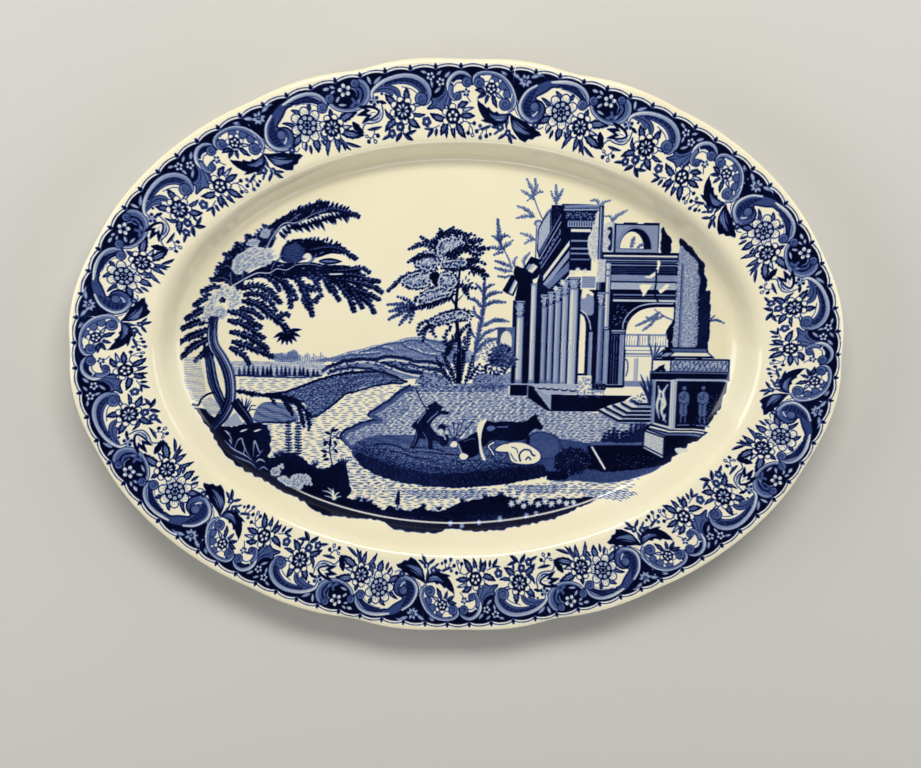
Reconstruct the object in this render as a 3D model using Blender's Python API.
"""China serving platter: one fired piece of glazed earthenware.

Frame: metres, +Z up. The platter lies on its foot ring on the plane z = 0,
its long axis along X, its short axis along Y, and the origin is the centre of
the foot ring in that plane.
"""
import math

import bmesh
import bpy

MM = 0.001

# ---- driving dimensions, millimetres --------------------------------------
HALF_LENGTH = 197.0        # nominal oval, before the lobes are cut into it
HALF_WIDTH = 149.6
LIP_LEVEL = 28.0           # highest line of the rolled lip
LIP_THICK = 4.6            # the lip is a full round of this height
MARLY_WIDTH = 41.0         # edge to the start of the shoulder
MARLY_RISE = 1.3           # the rim climbs this much from shoulder to lip
WELL_FLOOR = 7.0           # level of the flat food well
WELL_INSET = 56.0          # edge to the start of the flat well
BODY_THICK = 4.4           # wall and rim thickness
FOOT_HEIGHT = 2.4          # recessed base above the table
FOOT_FLAT_OUT = 51.5       # foot ring's flat, outer and inner insets
FOOT_FLAT_IN = 54.5
LOBE_REACH = 12.0          # the lobes fade into the plain oval over this inset
LOBE_MEAN = 0.990          # plain oval inside the lobes, share of the nominal
COLUMNS = 120

# The lobed outline: each quarter has shallow notches between its lobes.
# (angle from the long axis in degrees, depth as a share of the radius,
#  half-width in degrees)
NOTCHES = (
    (0.0, 0.0098, 4.7),
    (21.0, 0.0076, 7.6),
    (57.0, 0.0052, 3.3),
    (74.0, 0.0177, 4.5),
    (90.0, 0.0157, 6.8),
)
SQUARENESS = 0.003         # fourth harmonic that squares the oval a little


def lobe_factor(phi):
    """Share of the nominal oval's radius at the parametric angle phi."""
    deg = math.degrees(phi) % 180.0
    fold = deg if deg <= 90.0 else 180.0 - deg
    value = 1.0 + SQUARENESS * math.cos(4.0 * phi)
    for at, depth, half in NOTCHES:
        images = {at, -at, 180.0 - at}
        for image in images:
            value -= depth / (1.0 + ((fold - image) / half) ** 2)
    return value


def ring_point(phi, inset):
    """Plan position of the ring at this inset from the nominal edge."""
    fade = math.exp(-((inset / LOBE_REACH) ** 2))
    share = LOBE_MEAN + (lobe_factor(phi) - LOBE_MEAN) * fade
    return (
        (HALF_LENGTH * share - inset) * math.cos(phi),
        (HALF_WIDTH * share - inset) * math.sin(phi),
    )


def profile():
    """Closed section as (inset, level) pairs, from the well's edge over the
    top of the rim, round the lip, and back under to the recessed base."""
    shoulder = LIP_LEVEL - MARLY_RISE
    top = [
        (WELL_INSET, WELL_FLOOR),
        (53.0, WELL_FLOOR + 0.7),
        (50.2, WELL_FLOOR + 2.9),
        (48.0, WELL_FLOOR + 6.6),
        (46.2, WELL_FLOOR + 11.4),
        (44.6, WELL_FLOOR + 15.6),
        (43.0, shoulder - 1.6),
        (MARLY_WIDTH, shoulder - 0.5),
        (MARLY_WIDTH - 3.0, shoulder),
        (24.0, shoulder + 0.35 * MARLY_RISE),
        (9.0, shoulder + 0.8 * MARLY_RISE),
    ]
    # the lip: a full round
    radius = LIP_THICK / 2.0
    middle = LIP_LEVEL - radius
    lip = []
    for step in range(7):
        angle = math.radians(90.0 - 30.0 * step)
        lip.append((radius - radius * math.cos(angle), middle + radius * math.sin(angle)))
    under = [
        (9.0, LIP_LEVEL - LIP_THICK - 0.2),
        (24.0, shoulder - BODY_THICK - 0.1),
        (35.5, shoulder - BODY_THICK - 0.8),
        (38.8, shoulder - BODY_THICK - 3.6),
        (40.6, WELL_FLOOR + 9.2),
        (43.0, WELL_FLOOR + 2.0),
        (46.2, FOOT_HEIGHT + 1.0),
        (49.2, FOOT_HEIGHT - 0.2),
        (50.4, 0.6),
        (FOOT_FLAT_OUT, 0.0),
        (FOOT_FLAT_IN, 0.0),
        (55.6, 0.6),
        (56.8, FOOT_HEIGHT - 0.4),
        (59.0, FOOT_HEIGHT),
    ]
    return top + lip + under


def build_platter():
    bm = bmesh.new()
    rings = []
    for inset, level in profile():
        ring = []
        for column in range(COLUMNS):
            x, y = ring_point(2.0 * math.pi * column / COLUMNS, inset)
            ring.append(bm.verts.new((x * MM, y * MM, level * MM)))
        rings.append(ring)
    for lower, upper in zip(rings[:-1], rings[1:]):
        for column in range(COLUMNS):
            after = (column + 1) % COLUMNS
            bm.faces.new((lower[column], upper[column], upper[after], lower[after]))
    bm.faces.new(rings[0])                    # the flat well
    bm.faces.new(list(reversed(rings[-1])))   # the recessed base
    bmesh.ops.recalc_face_normals(bm, faces=bm.faces)
    mesh = bpy.data.meshes.new("platter")
    bm.to_mesh(mesh)
    bm.free()
    mesh.shade_smooth()
    mesh.set_sharp_from_angle(angle=math.radians(50.0))
    return mesh


def china():
    material = bpy.data.materials.new("glazed_earthenware")
    material.use_nodes = True
    shader = material.node_tree.nodes["Principled BSDF"]
    shader.inputs["Base Color"].default_value = (0.82, 0.78, 0.62, 1.0)
    shader.inputs["Roughness"].default_value = 0.12
    shader.inputs["Metallic"].default_value = 0.0
    return material


for leftover in list(bpy.data.objects):
    bpy.data.objects.remove(leftover, do_unlink=True)

platter = bpy.data.objects.new("platter", build_platter())
platter.data.materials.append(china())
bpy.context.scene.collection.objects.link(platter)
